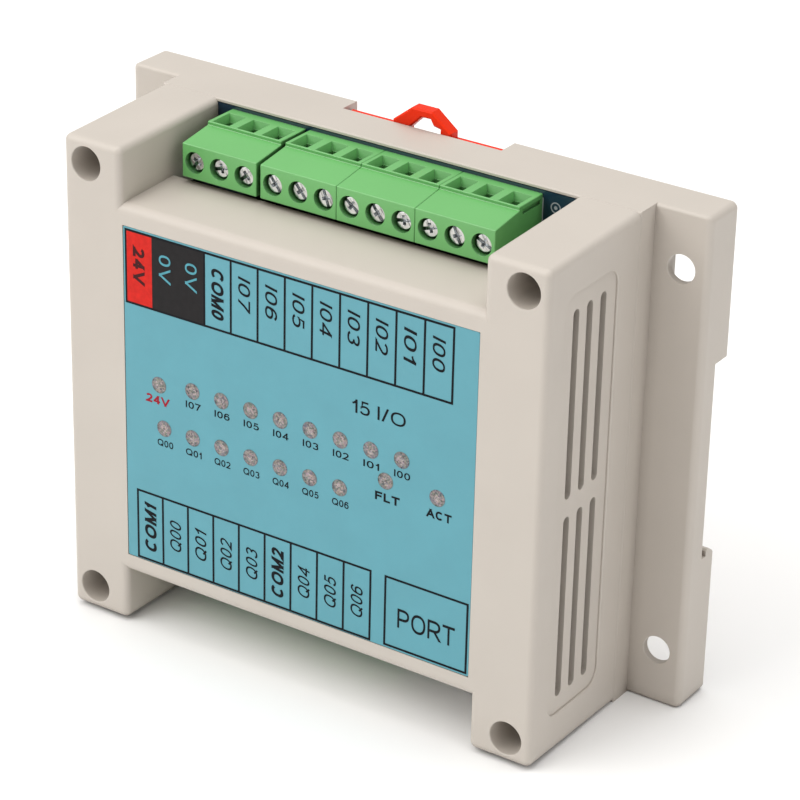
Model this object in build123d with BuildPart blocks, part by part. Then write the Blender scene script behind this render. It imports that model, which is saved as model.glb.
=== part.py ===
"""PLC module in a DIN-rail box: every separate piece of it, written as one STEP file each.

Row frame, in millimetres: X to the right, Z up, the front faces -Y. The origin is the centre of
the box's footprint, so the back rests at y = +20 and the front label lies at y = -20.
"""

from build123d import *
import os

os.makedirs("parts", exist_ok=True)

# ---- Driving dimensions: box ----
WIDTH = 115.0
DEPTH = 40.0
HEIGHT = 90.0
BODY_HALF = 47.3
FRONT = -DEPTH / 2
BACK = DEPTH / 2
MID_Z = HEIGHT / 2
PARTING = 7.0
WALL = 2.0
COVER_DRAFT = 0.7
EDGE_ROUND = 1.2
SILL_ROUND = 1.8
DRAFT_ANGLE = 1.49

# ---- Front cover ----
COLUMN_INNER = 35.5
SILL_FRONT = 10.4
SILL_REAR = 10.0
SILL_EDGE = -5.6
LABEL_HALF = 35.1
LABEL_LOW = 13.9
LABEL_HIGH = 76.0
LABEL_THICK = 0.25
LABEL_SINK = 0.08
WELL_X = 42.6
WELL_Z = 5.0
WELL_R = 3.0
WELL_ROUND = 0.2
WELL_FLOOR = 1.0
WELL_FLOOR_THICK = 2.0
WELL_WALL_R = 4.6
PANEL_FRONT = -14.8
PANEL_REAR = 0.9
PANEL_LOW = 7.3
PANEL_HIGH = 82.9
PANEL_DEEP = 0.4
PANEL_ROUND = 0.25
VENT_YS = (-11.1, -7.0, -2.9)
VENT_WIDE = 1.8
VENT_LONG = 33.2
VENT_ZS = (26.9, 63.3)
LIGHT_HOLE_R = 1.7

# ---- Rear base ----
RIM_WALL = 1.6
RIM_LIP = 0.6
RIM_CHAMFER = 0.22
FLANGE_FRONT = 11.6
FLANGE_PLATE = 1.3
FLANGE_ROUND = 0.6
FLANGE_HOLE_X = 52.5
FLANGE_HOLE_Z = (10.0, 80.0)
FLANGE_HOLE_R = 2.5
FLANGE_HOLE_ROUND = 0.15
HOLLOW_INNER_LOW = 45.6
HOLLOW_INNER_HIGH = 46.9
DEEP_HALF = 43.9
CHANNEL_LOW = 27.0
CHANNEL_HIGH = 63.0
CHANNEL_FLOOR = 16.0
HOOK_FRONT = 17.4
HOOK_TOP = 28.2

# ---- Rail clip ----
CLIP_HALF = 15.5
CLIP_FRONT = 15.8
CLIP_BACK = 18.3
CLIP_LOW = 61.2
CLIP_TOP = 89.1
CLIP_TRAVEL = 4.0
CLIP_SLOT_GAP = 0.3
LOOP_TOP = 93.4
LOOP_BEND = 90.4
LOOP_HALF_LOW = 5.8
LOOP_HALF_HIGH = 2.0
STOP_Z = 76.0
STOP_R = 1.8

# ---- Circuit board ----
BOARD_THICK = 1.6
BOARD_BACK = PARTING + BOARD_THICK
BOARD_EDGE = 0.15
BOARD_SCREW_X = 41.4
BOARD_SCREW_ZS = (22.0, 68.0)

# ---- Terminals ----
PITCH = 5.08
POLES = 3
BLOCK_LONG = PITCH * POLES - 0.04
INPUT_STARTS = (-32.5, -16.5, -1.26, 13.98)
OUTPUT_STARTS = (-31.5, -16.26, -1.02)
TERMINAL_FRONT = -7.0
TERMINAL_LOW = 81.05
TERMINAL_STEP = 87.05
TERMINAL_SLOPE_TOP = 88.05
TERMINAL_RIM = 88.7
SCREW_Z = 84.0
SCREW_WELL_R = 1.9
HEAD_R = 1.6
HEAD_FRONT = -6.2
HEAD_THICK = 1.1
SHANK_R = 1.25
SHANK_END = 0.3
SHOULDER_FRONT = -5.0
DRIVER_SLOT_WIDE = 0.6
DRIVER_SLOT_DEEP = 0.75
CROSS_LONG = 1.7
WIRE_MOUTH = (3.5, 4.8)
WIRE_THROAT = (2.5, 3.6)
WIRE_Y = 2.7
FUNNEL_DEEP = 1.4
FUNNEL_TAPER = 19.5
KEYWAY_DEEP = 0.5
CAGE_HALF = 1.95
CAGE_Z_HALF = 1.7
CAGE_FRONT = -1.5
CAGE_REAR = 5.9
WINDOW_FRONT = 0.5
WINDOW_REAR = 5.1
WINDOW_HALF = 1.55
CLAMP_TRAVEL = 2.7
CAVITY_GAP = 0.2
CONTACT_FRONT = 0.6
CONTACT_THICK = 0.6
PIN_LOW = 81.72
PIN_THICK = 0.45
PIN_END = 10.4
INPUT_SLOT_ANGLES = (60, 15, 40, -50, -50, -70, -35, -50, 10, 18, -65, -25)
OUTPUT_SLOT_ANGLES = (-20, 55, 35, -65, 10, -40, 70, 25, -55)

# ---- Lights ----
LED_R = 1.5
LED_TIP = FRONT + WALL - 0.6
LED_BODY = 5.2
SPACER_R = 2.2
ROW_PITCH = 6.0
LIGHTS = (
    [(-27.9, 48.6), (18.07, 44.73), (28.07, 44.73)]
    + [(-20.9 + ROW_PITCH * k, 49.45) for k in range(8)]
    + [(-26.9 + ROW_PITCH * k, 40.7) for k in range(7)]
)


def save(piece, name):
    """Names a finished piece and writes its STEP file."""
    piece.part.label = name
    export_step(piece.part, f"parts/{name}.step")


def facing_front(y):
    """Plane at depth y whose x is the box's X and whose y is its Z, looking towards the front."""
    return Plane(origin=(0, y, 0), x_dir=(1, 0, 0), z_dir=(0, -1, 0))


def upright_section(x):
    """Plane across the box at x: its x runs to the back and its y runs up."""
    return Plane(origin=(x, 0, 0), x_dir=(0, 1, 0), z_dir=(1, 0, 0))


def slab(x_range, y_range, z_range, mode=Mode.ADD):
    """Adds or cuts a box given by its limits along X, Y and Z."""
    low = Vector(x_range[0], y_range[0], z_range[0])
    high = Vector(x_range[1], y_range[1], z_range[1])
    with Locations((low + high) / 2):
        Box(*(high - low), mode=mode)


# ---------------------------------------------------------------- front cover
def corner_wells():
    """The four places of the cover's screws, as (x, z) on a front-facing plane."""
    return [(x, z) for x in (-WELL_X, WELL_X) for z in (WELL_Z, HEIGHT - WELL_Z)]


def beside_sill(point):
    """Whether a point lies on a corner line between a ledge and a column."""
    from_edge = min(point.Z, HEIGHT - point.Z)
    return abs(abs(point.X) - COLUMN_INNER) < 0.01 and abs(from_edge - SILL_FRONT) < 1


COVER_DEEP = PARTING - FRONT
SILL_FRONT_TOP = HEIGHT - SILL_FRONT - 0.1

with BuildPart() as front_cover:
    # Outer block, slightly smaller at the front than at the parting line.
    with BuildSketch(upright_section(-BODY_HALF)):
        with BuildLine():
            Polyline(
                (PARTING, 0),
                (PARTING, HEIGHT),
                (FRONT, HEIGHT - COVER_DRAFT),
                (FRONT, COVER_DRAFT),
                close=True,
            )
        make_face()
    extrude(amount=2 * BODY_HALF)
    # Open bays above and below the middle section, between the end columns.
    for z_front, z_rear, z_out in (
        (SILL_FRONT, SILL_REAR, -5),
        (SILL_FRONT_TOP, HEIGHT - SILL_REAR, HEIGHT + 5),
    ):
        with BuildSketch(upright_section(-COLUMN_INNER)):
            with BuildLine():
                Polyline(
                    (FRONT - 5, z_front),
                    (FRONT, z_front),
                    (SILL_EDGE, z_rear),
                    (PARTING + 5, z_rear),
                    (PARTING + 5, z_out),
                    (FRONT - 5, z_out),
                    close=True,
                )
            make_face()
        extrude(amount=2 * COLUMN_INNER, mode=Mode.SUBTRACT)
    # The two long front edges of the middle section are rounder than the other outside edges.
    sill_edges = (
        front_cover.edges()
        .filter_by(Axis.X)
        .filter_by(lambda e: e.length > COLUMN_INNER and abs(e.center().Y - FRONT) < 0.01)
    )
    fillet(sill_edges, radius=SILL_ROUND)
    outside_edges = (
        front_cover.edges()
        .filter_by(lambda e: abs(e.center().Y - PARTING) > 0.01)
        .filter_by(lambda e: e.length < 2 * COLUMN_INNER - 0.01 or e.length > HEIGHT - 2)
        .filter_by(lambda e: not beside_sill(e.center()))
    )
    fillet(outside_edges, radius=EDGE_ROUND)
    # Hollow inside: the tall spaces in the columns and the space behind the middle section.
    with BuildSketch(facing_front(PARTING)):
        with BuildLine():
            Polyline(
                (-BODY_HALF + WALL, WALL),
                (-COLUMN_INNER - WALL, WALL),
                (-COLUMN_INNER - WALL, SILL_FRONT + WALL),
                (COLUMN_INNER + WALL, SILL_FRONT + WALL),
                (COLUMN_INNER + WALL, WALL),
                (BODY_HALF - WALL, WALL),
                (BODY_HALF - WALL, HEIGHT - WALL),
                (COLUMN_INNER + WALL, HEIGHT - WALL),
                (COLUMN_INNER + WALL, HEIGHT - SILL_FRONT - WALL),
                (-COLUMN_INNER - WALL, HEIGHT - SILL_FRONT - WALL),
                (-COLUMN_INNER - WALL, HEIGHT - WALL),
                (-BODY_HALF + WALL, HEIGHT - WALL),
                close=True,
            )
        make_face()
    extrude(amount=COVER_DEEP - WALL, taper=DRAFT_ANGLE, mode=Mode.SUBTRACT)
    # The ledges end short of the board, so the terminals' backs stand in an open slot.
    for z in (SILL_REAR + 1.5, HEIGHT - SILL_REAR - 1.5):
        with BuildSketch(facing_front(PARTING)):
            with Locations((0, z)):
                Rectangle(2 * COLUMN_INNER, 5)
        extrude(amount=PARTING - SILL_EDGE, mode=Mode.SUBTRACT)
    # Screw wells: a tube in each corner of the columns with a floor that the screw pulls on.
    with BuildSketch(facing_front(WELL_FLOOR + WELL_FLOOR_THICK)):
        with Locations(*corner_wells()):
            Circle(WELL_WALL_R)
        with BuildSketch(mode=Mode.INTERSECT):
            with Locations((0, MID_Z)):
                Rectangle(2 * BODY_HALF - WALL, HEIGHT - 2 * WALL)
    extrude(amount=WELL_FLOOR + WELL_FLOOR_THICK - FRONT - 1)
    with BuildSketch(facing_front(WELL_FLOOR)):
        with Locations(*corner_wells()):
            Circle(WELL_R)
    extrude(amount=WELL_FLOOR - FRONT + 1, mode=Mode.SUBTRACT)
    with BuildSketch(facing_front(WELL_FLOOR + WELL_FLOOR_THICK + 1)):
        with Locations(*corner_wells()):
            Circle(1.7)
    extrude(amount=WELL_FLOOR_THICK + 2, mode=Mode.SUBTRACT)
    well_mouths = (
        front_cover.edges()
        .filter_by(GeomType.CIRCLE)
        .filter_by(lambda e: abs(e.radius - WELL_R) < 0.01)
        .filter_by(lambda e: e.center().Y < FRONT + 0.1)
    )
    fillet(well_mouths, radius=WELL_ROUND)
    # Vent panels: a shallow recess on each side with two banks of three slots.
    for side in (-1, 1):
        outer = Plane(
            origin=(side * BODY_HALF, 0, 0), x_dir=(0, 1, 0), z_dir=(1, 0, 0)
        )
        inward = -side
        with BuildSketch(outer):
            with Locations(
                ((PANEL_FRONT + PANEL_REAR) / 2, (PANEL_LOW + PANEL_HIGH) / 2)
            ):
                RectangleRounded(
                    PANEL_REAR - PANEL_FRONT, PANEL_HIGH - PANEL_LOW, 2.8
                )
        extrude(amount=inward * PANEL_DEEP, mode=Mode.SUBTRACT)
        panel_rim = (
            front_cover.edges()
            .filter_by(lambda e: abs(e.center().X - side * BODY_HALF) < 0.01)
            .filter_by(lambda e: PANEL_LOW - 0.1 < e.center().Z < PANEL_HIGH + 0.1)
            .filter_by(lambda e: PANEL_FRONT - 0.1 < e.center().Y < PANEL_REAR + 0.1)
        )
        fillet(panel_rim, radius=PANEL_ROUND)
        with BuildSketch(outer):
            with Locations(*[(y, z) for y in VENT_YS for z in VENT_ZS]):
                SlotOverall(VENT_LONG, VENT_WIDE, rotation=90)
        extrude(amount=inward * (WALL + 1), mode=Mode.SUBTRACT)
    # Shallow seat for the label, and the holes that the lights shine through.
    with BuildSketch(facing_front(FRONT + LABEL_SINK + LABEL_THICK)):
        with Locations((0, (LABEL_LOW + LABEL_HIGH) / 2)):
            Rectangle(2 * LABEL_HALF, LABEL_HIGH - LABEL_LOW)
    extrude(amount=2, mode=Mode.SUBTRACT)
    with BuildSketch(facing_front(FRONT + WALL + 1)):
        with Locations(*LIGHTS):
            Circle(LIGHT_HOLE_R)
    extrude(amount=WALL + 2, mode=Mode.SUBTRACT)
save(front_cover, "front_cover")

# ---------------------------------------------------------------- front label
with BuildPart() as front_label:
    with BuildSketch(facing_front(FRONT + LABEL_SINK + LABEL_THICK)):
        with Locations((0, (LABEL_LOW + LABEL_HIGH) / 2)):
            RectangleRounded(
                2 * LABEL_HALF - 0.2, LABEL_HIGH - LABEL_LOW - 0.2, 0.3
            )
    extrude(amount=LABEL_THICK)
save(front_label, "front_label")

# ---------------------------------------------------------------- rear base
POST_R = 2.4
POST_FRONT = WELL_FLOOR + WELL_FLOOR_THICK + 0.1
PILOT_R = 1.35
COVER_SHANK_R = 1.3
STANDOFF_R = 2.6
BACK_PLATE = 2.0
RIM_ROUND = 0.3
BACK_ROUND = 0.25
CHANNEL_INSIDE = CHANNEL_FLOOR - BACK_PLATE
GUIDE_HALF = CLIP_HALF + CLIP_SLOT_GAP
GUIDE_FLOOR = CLIP_FRONT - 0.1
GUIDE_LIP_HALF = 13.4
GUIDE_LIP_FRONT = CLIP_BACK + 0.2
GUIDE_LIP_LOW = 66.0
GUIDE_LIP_HIGH = 84.0
BOARD_SCREWS = [(x, z) for x in (-BOARD_SCREW_X, BOARD_SCREW_X) for z in BOARD_SCREW_ZS]


with BuildPart() as rear_base:
    slab((-BODY_HALF, BODY_HALF), (PARTING, BACK), (0, HEIGHT))
    slab((-WIDTH / 2, WIDTH / 2), (FLANGE_FRONT, BACK), (0, HEIGHT))
    # Soft edges at the front, tighter along the flanges' ends, at the back and where the cover
    # meets the rim.
    flange_ends = (
        rear_base.edges()
        .filter_by(Axis.X)
        .filter_by(lambda e: abs(e.center().Y - FLANGE_FRONT) < 0.01)
    )
    fillet(flange_ends, radius=FLANGE_ROUND)
    fillet(
        rear_base.edges()
        .filter_by(lambda e: abs(e.center().X) > BODY_HALF + 0.01 and e.center().Y < BACK - 0.01)
        .filter_by(lambda e: e.center().Y > FLANGE_FRONT + 2 or e.length > HEIGHT / 2),
        radius=EDGE_ROUND,
    )
    fillet(rear_base.faces().sort_by(Axis.Y)[-1].edges(), radius=BACK_ROUND)
    chamfer(rear_base.faces().sort_by(Axis.Y)[0].edges(), length=RIM_CHAMFER)
    # Channel for the 35 mm rail. Its lower side ends in a hook behind the rail's lower flange.
    with BuildSketch(upright_section(-WIDTH)):
        with BuildLine():
            Polyline(
                (CHANNEL_FLOOR, CHANNEL_LOW),
                (HOOK_FRONT, CHANNEL_LOW),
                (HOOK_FRONT, HOOK_TOP - 0.3),
                (HOOK_FRONT + 0.3, HOOK_TOP),
                (HOOK_FRONT + 0.9, HOOK_TOP),
                (BACK - 0.6, HOOK_TOP - 0.8),
                (BACK, HOOK_TOP - 1.5),
                (BACK + 1, HOOK_TOP - 1.5),
                (BACK + 1, CHANNEL_HIGH),
                (CHANNEL_FLOOR, CHANNEL_HIGH),
                close=True,
            )
        make_face()
    extrude(amount=2 * WIDTH, mode=Mode.SUBTRACT)
    # Small round on the rim's front edge where it shows between the cover's columns.
    for z_edge, inward in ((HEIGHT, -1), (0, 1)):
        with BuildSketch(upright_section(-COLUMN_INNER)):
            with Locations((PARTING, z_edge)):
                Rectangle(2 * RIM_ROUND, 2 * RIM_ROUND)
            with Locations((PARTING + RIM_ROUND, z_edge + inward * RIM_ROUND)):
                Circle(RIM_ROUND, mode=Mode.SUBTRACT)
        extrude(amount=2 * COLUMN_INNER, mode=Mode.SUBTRACT)
    # Inside: a step that the board's edge rests on, one wide space in front of the channel, and
    # deeper spaces above and below it.
    inner_x = (-BODY_HALF + WALL, BODY_HALF - WALL)
    deep_y = (CHANNEL_INSIDE - 1, BACK - BACK_PLATE)
    slab(inner_x, (PARTING - 1, BOARD_BACK), (RIM_LIP, HEIGHT - RIM_LIP), Mode.SUBTRACT)
    slab(inner_x, (PARTING, FLANGE_FRONT - 0.3), (RIM_WALL, HEIGHT - RIM_WALL), Mode.SUBTRACT)
    slab((-DEEP_HALF, DEEP_HALF), (PARTING, CHANNEL_INSIDE), (RIM_WALL, HEIGHT - RIM_WALL), Mode.SUBTRACT)
    slab((-DEEP_HALF, DEEP_HALF), deep_y, (RIM_WALL, CHANNEL_LOW - WALL), Mode.SUBTRACT)
    for side in (-1, 1):
        deep_x = sorted((side * (GUIDE_HALF + WALL), side * DEEP_HALF))
        slab(deep_x, deep_y, (CHANNEL_HIGH + WALL, HEIGHT - RIM_WALL), Mode.SUBTRACT)
        # The flanges are hollow from behind above and below the channel.
        for inner, flange_z in (
            (HOLLOW_INNER_LOW, (WALL, CHANNEL_LOW - WALL)),
            (HOLLOW_INNER_HIGH, (CHANNEL_HIGH + WALL, HEIGHT - WALL)),
        ):
            flange_x = sorted((side * inner, side * (WIDTH / 2 - WALL)))
            slab(flange_x, (FLANGE_FRONT + FLANGE_PLATE, BACK + 1), flange_z, Mode.SUBTRACT)
    # Mounting holes through the flanges.
    with BuildSketch(facing_front(BACK + 1)):
        with Locations(*[(side * FLANGE_HOLE_X, z) for side in (-1, 1) for z in FLANGE_HOLE_Z]):
            Circle(FLANGE_HOLE_R)
    extrude(amount=BACK - FLANGE_FRONT + 2, mode=Mode.SUBTRACT)
    hole_mouths = (
        rear_base.edges()
        .filter_by(GeomType.CIRCLE)
        .filter_by(lambda e: abs(e.radius - FLANGE_HOLE_R) < 0.01)
        .filter_by(lambda e: abs(e.center().Y - FLANGE_FRONT) < 0.01)
    )
    fillet(hole_mouths, radius=FLANGE_HOLE_ROUND)
    # Guide for the rail clip: a recess open to the back and the top, lips over the clip's edges,
    # and a stop boss that stands in the clip's slot.
    slab((-GUIDE_HALF, GUIDE_HALF), (GUIDE_FLOOR, BACK + 1), (CHANNEL_HIGH - 1, HEIGHT + 1), Mode.SUBTRACT)
    for side in (-1, 1):
        lip_x = sorted((side * GUIDE_LIP_HALF, side * (GUIDE_HALF + 0.5)))
        slab(lip_x, (GUIDE_LIP_FRONT, BACK), (GUIDE_LIP_LOW, GUIDE_LIP_HIGH))
    with BuildSketch(facing_front(CLIP_BACK - 0.2)):
        with Locations((0, STOP_Z)):
            Circle(STOP_R)
    extrude(amount=CLIP_BACK - GUIDE_FLOOR)
    # Posts for the cover's screws and standoffs under the board.
    with BuildSketch(facing_front(BACK - BACK_PLATE + 0.5)):
        with Locations(*corner_wells()):
            Circle(POST_R)
    extrude(amount=BACK - BACK_PLATE + 0.5 - POST_FRONT)
    with BuildSketch(facing_front(BACK - BACK_PLATE + 0.5)):
        with Locations(*BOARD_SCREWS):
            Circle(STANDOFF_R)
    extrude(amount=BACK - BACK_PLATE + 0.5 - BOARD_BACK)
    with BuildSketch(facing_front(BACK - BACK_PLATE - 1)):
        with Locations(*corner_wells(), *BOARD_SCREWS):
            Circle(PILOT_R)
    extrude(amount=BACK, mode=Mode.SUBTRACT)
save(rear_base, "rear_base")

# ---------------------------------------------------------------- rail clip
CLIP_THICK = CLIP_BACK - CLIP_FRONT
PLATE_LOW = CHANNEL_HIGH + 0.3
CLIP_JAW_FRONT = 17.2
CLIP_JAW_HALF = 13.0
CLIP_JAW_BACK = 19.8
CLIP_JAW_TOP = 65.5
ARM_SLOT_X = 11.6

with BuildPart() as rail_clip:
    with BuildSketch(facing_front(CLIP_BACK)):
        # Plate that slides in the guide, with the pull loop standing on its top edge.
        with Locations((0, (PLATE_LOW + CLIP_TOP) / 2)):
            Rectangle(2 * CLIP_HALF, CLIP_TOP - PLATE_LOW)
        with BuildLine():
            Polyline(
                (-LOOP_HALF_LOW, CLIP_TOP - 1),
                (-LOOP_HALF_LOW, LOOP_BEND),
                (-LOOP_HALF_HIGH, LOOP_TOP),
                (LOOP_HALF_HIGH, LOOP_TOP),
                (LOOP_HALF_LOW, LOOP_BEND),
                (LOOP_HALF_LOW, CLIP_TOP - 1),
                close=True,
            )
        make_face()
        # Eye of the loop.
        with BuildLine():
            Polyline(
                (-3.1, 86.6),
                (-3.1, 89.0),
                (-0.15, 91.95),
                (1.6, 92.0),
                (2.25, 90.9),
                (3.8, 90.6),
                (3.8, 86.6),
                close=True,
            )
        make_face(mode=Mode.SUBTRACT)
        # Slot for the stop boss, and the slits that free the two spring arms.
        with Locations((0, STOP_Z - CLIP_TRAVEL / 2)):
            SlotOverall(
                CLIP_TRAVEL + 2 * STOP_R + 0.6,
                2 * STOP_R + 0.6,
                rotation=90,
                mode=Mode.SUBTRACT,
            )
        with Locations((-ARM_SLOT_X, STOP_Z), (ARM_SLOT_X, STOP_Z)):
            SlotOverall(18, 1.2, rotation=90, mode=Mode.SUBTRACT)
    extrude(amount=CLIP_THICK)
    # Softened rim of the pull loop.
    loop_rim = (
        rail_clip.edges()
        .filter_by(Axis.Y, reverse=True)
        .filter_by(lambda e: e.center().Z > CLIP_TOP + 0.1)
    )
    chamfer(loop_rim, length=0.3)
    # Jaw that hooks behind the rail's upper flange, with a lead-in slope.
    with BuildSketch(upright_section(-CLIP_JAW_HALF)):
        with BuildLine():
            Polyline(
                (CLIP_JAW_FRONT, CLIP_LOW),
                (CLIP_BACK + 0.3, CLIP_LOW),
                (CLIP_JAW_BACK, CLIP_LOW + 1.2),
                (CLIP_JAW_BACK, CLIP_JAW_TOP),
                (CLIP_JAW_FRONT, CLIP_JAW_TOP),
                close=True,
            )
        make_face()
    extrude(amount=2 * CLIP_JAW_HALF)
save(rail_clip, "rail_clip")

# ---------------------------------------------------------------- circuit board
def pole_xs(starts):
    """The centre of every pole of the terminal blocks that start at the given places."""
    return [start + PITCH * (k + 0.5) for start in starts for k in range(POLES)]


INPUT_POLES = pole_xs(INPUT_STARTS)
OUTPUT_POLES = pole_xs(OUTPUT_STARTS)
PIN_Z = PIN_LOW + PIN_THICK / 2
LED_LEG_X = 1.27

with BuildPart() as main_board:
    board_x = BODY_HALF - WALL - BOARD_EDGE
    board_z = (RIM_LIP + BOARD_EDGE, HEIGHT - RIM_LIP - BOARD_EDGE)
    slab((-board_x, board_x), (PARTING, BOARD_BACK), board_z)
    # The corners are cut away round the posts.
    for cut_x in ((-BODY_HALF, -WELL_X + 3.2), (WELL_X - 3.2, BODY_HALF)):
        for cut_z in ((0, WELL_Z + 3.5), (HEIGHT - WELL_Z - 3.5, HEIGHT)):
            slab(cut_x, (PARTING - 1, BOARD_BACK + 1), cut_z, Mode.SUBTRACT)
    with BuildSketch(facing_front(BOARD_BACK + 1)):
        with Locations(*BOARD_SCREWS):
            Circle(1.6)
        with Locations(*[(x, PIN_Z) for x in INPUT_POLES], *[(x, HEIGHT - PIN_Z) for x in OUTPUT_POLES]):
            Circle(0.75)
        with Locations(*[(x + leg, z) for x, z in LIGHTS for leg in (-LED_LEG_X, LED_LEG_X)]):
            Circle(0.4)
    extrude(amount=BOARD_THICK + 2, mode=Mode.SUBTRACT)
save(main_board, "main_board")

# ---------------------------------------------------------------- terminals
CAVITY_FRONT = CAGE_FRONT - CLAMP_TRAVEL - CAVITY_GAP
CAVITY_REAR = CAGE_REAR + CAVITY_GAP
CAVITY_LOW = 81.65
CAVITY_HIGH = SCREW_Z + CAGE_Z_HALF + CAVITY_GAP


def flipped(z, inputs):
    """A height on the input side, or its mirror image on the output side."""
    return z if inputs else HEIGHT - z


def z_span(low, high, inputs):
    """The same for a pair of heights, returned lowest first."""
    return sorted((flipped(low, inputs), flipped(high, inputs)))


def terminal_housings(starts, inputs):
    """One row of terminal blocks, each with screw wells, wire funnels and clamp cavities."""
    with BuildPart() as housings:
        for start in starts:
            with BuildSketch(upright_section(start + 0.02)):
                with BuildLine():
                    Polyline(
                        (PARTING, flipped(TERMINAL_LOW, inputs)),
                        (TERMINAL_FRONT, flipped(TERMINAL_LOW, inputs)),
                        (TERMINAL_FRONT, flipped(TERMINAL_STEP, inputs)),
                        (0, flipped(TERMINAL_SLOPE_TOP, inputs)),
                        (0, flipped(TERMINAL_RIM, inputs)),
                        (PARTING, flipped(TERMINAL_RIM, inputs)),
                        close=True,
                    )
                make_face()
            extrude(amount=BLOCK_LONG)
        outer = housings.edges().filter_by(lambda e: e.center().Y < PARTING - 0.1)
        chamfer(outer, length=0.1)
        poles = pole_xs(starts)
        with BuildSketch(facing_front(SHOULDER_FRONT)):
            with Locations(*[(x, flipped(SCREW_Z, inputs)) for x in poles]):
                Circle(SCREW_WELL_R)
        extrude(amount=5, mode=Mode.SUBTRACT)
        with BuildSketch(facing_front(0)):
            with Locations(*[(x, flipped(SCREW_Z, inputs)) for x in poles]):
                Circle(SHANK_R + 0.1)
        extrude(amount=8, mode=Mode.SUBTRACT)
        outward = 1 if inputs else -1
        mouth = Plane(
            origin=(0, 0, flipped(TERMINAL_RIM, inputs)), x_dir=(1, 0, 0), z_dir=(0, 0, -outward)
        )
        for x in poles:
            slab(
                (x - CAGE_HALF - CAVITY_GAP, x + CAGE_HALF + CAVITY_GAP),
                (CAVITY_FRONT, CAVITY_REAR),
                z_span(CAVITY_LOW, CAVITY_HIGH, inputs),
                Mode.SUBTRACT,
            )
            slab(
                (x - WIRE_THROAT[0] / 2, x + WIRE_THROAT[0] / 2),
                (WIRE_Y - WIRE_THROAT[1] / 2, WIRE_Y + WIRE_THROAT[1] / 2),
                z_span(CAVITY_HIGH - 0.1, TERMINAL_RIM + 1, inputs),
                Mode.SUBTRACT,
            )
            slab(
                (x - 0.7, x + 0.7),
                (CAVITY_REAR - 0.1, PARTING + 1),
                z_span(CAVITY_LOW, CAVITY_LOW + 0.6, inputs),
                Mode.SUBTRACT,
            )
            with BuildSketch(mouth):
                with Locations(mouth.to_local_coords(Vector(x, WIRE_Y, flipped(TERMINAL_RIM, inputs)))):
                    Rectangle(*WIRE_MOUTH)
            extrude(amount=FUNNEL_DEEP, taper=FUNNEL_TAPER, mode=Mode.SUBTRACT)
        # Keyway under the rim at the right end of each block.
        for start in starts:
            end = start + 0.02 + BLOCK_LONG
            slab(
                (end - KEYWAY_DEEP, end + 1),
                (1.0, PARTING - 0.6),
                z_span(TERMINAL_STEP, TERMINAL_SLOPE_TOP - 0.15, inputs),
                Mode.SUBTRACT,
            )
    return housings


save(terminal_housings(INPUT_STARTS, True), "input_terminal_housings")
save(terminal_housings(OUTPUT_STARTS, False), "output_terminal_housings")

with BuildPart() as terminal_contact_pins:
    for poles, inputs in ((INPUT_POLES, True), (OUTPUT_POLES, False)):
        for x in poles:
            slab(
                (x - 1.2, x + 1.2),
                (CONTACT_FRONT, CONTACT_FRONT + CONTACT_THICK),
                z_span(PIN_LOW, CAVITY_HIGH - 0.05, inputs),
            )
            slab(
                (x - 0.6, x + 0.6),
                (CONTACT_FRONT, PIN_END),
                z_span(PIN_LOW, PIN_LOW + PIN_THICK, inputs),
            )
save(terminal_contact_pins, "terminal_contact_pins")


def terminal_screw(x, z, slot_angle):
    """Slotted screw, captive behind the shoulder of its well and threaded through its clamp."""
    with BuildPart() as screw:
        with BuildSketch(facing_front(HEAD_FRONT + HEAD_THICK)):
            with Locations((x, z)):
                Circle(HEAD_R)
        extrude(amount=HEAD_THICK)
        fillet(screw.edges().group_by(Axis.Y)[0], radius=0.2)
        with BuildSketch(facing_front(SHANK_END)):
            with Locations((x, z)):
                Circle(SHANK_R)
        extrude(amount=SHANK_END - HEAD_FRONT - HEAD_THICK)
        with BuildSketch(facing_front(HEAD_FRONT + DRIVER_SLOT_DEEP)):
            with Locations((x, z)):
                Rectangle(2 * HEAD_R + 1, DRIVER_SLOT_WIDE, rotation=slot_angle)
                Rectangle(DRIVER_SLOT_WIDE, CROSS_LONG, rotation=slot_angle)
        extrude(amount=DRIVER_SLOT_DEEP + 1, mode=Mode.SUBTRACT)
    return screw


def wire_clamp(x, z):
    """Rising cage: a thick threaded front bar, thin sides and a rear bar round the wire's window."""
    with BuildPart() as cage:
        slab((x - CAGE_HALF, x + CAGE_HALF), (CAGE_FRONT, CAGE_REAR), (z - CAGE_Z_HALF, z + CAGE_Z_HALF))
        slab(
            (x - WINDOW_HALF, x + WINDOW_HALF),
            (WINDOW_FRONT, WINDOW_REAR),
            (z - CAGE_Z_HALF - 1, z + CAGE_Z_HALF + 1),
            Mode.SUBTRACT,
        )
        with BuildSketch(facing_front(WINDOW_FRONT + 0.5)):
            with Locations((x, z)):
                Circle(SHANK_R + 0.05)
        extrude(amount=4, mode=Mode.SUBTRACT)
    return cage


for row, poles, z, angles in (
    ("input", INPUT_POLES, SCREW_Z, INPUT_SLOT_ANGLES),
    ("output", OUTPUT_POLES, HEIGHT - SCREW_Z, OUTPUT_SLOT_ANGLES),
):
    for number, (x, angle) in enumerate(zip(poles, angles), 1):
        save(terminal_screw(x, z, angle), f"{row}_screw_{number:02d}")
        save(wire_clamp(x, z), f"{row}_clamp_{number:02d}")

# ---------------------------------------------------------------- data port
PORT_X = 26.5
PORT_HALF = 6.0
PORT_LOW = 1.5
PORT_HIGH = 17.5
PORT_FRONT = -4.0
PORT_SHELL = 0.5

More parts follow.
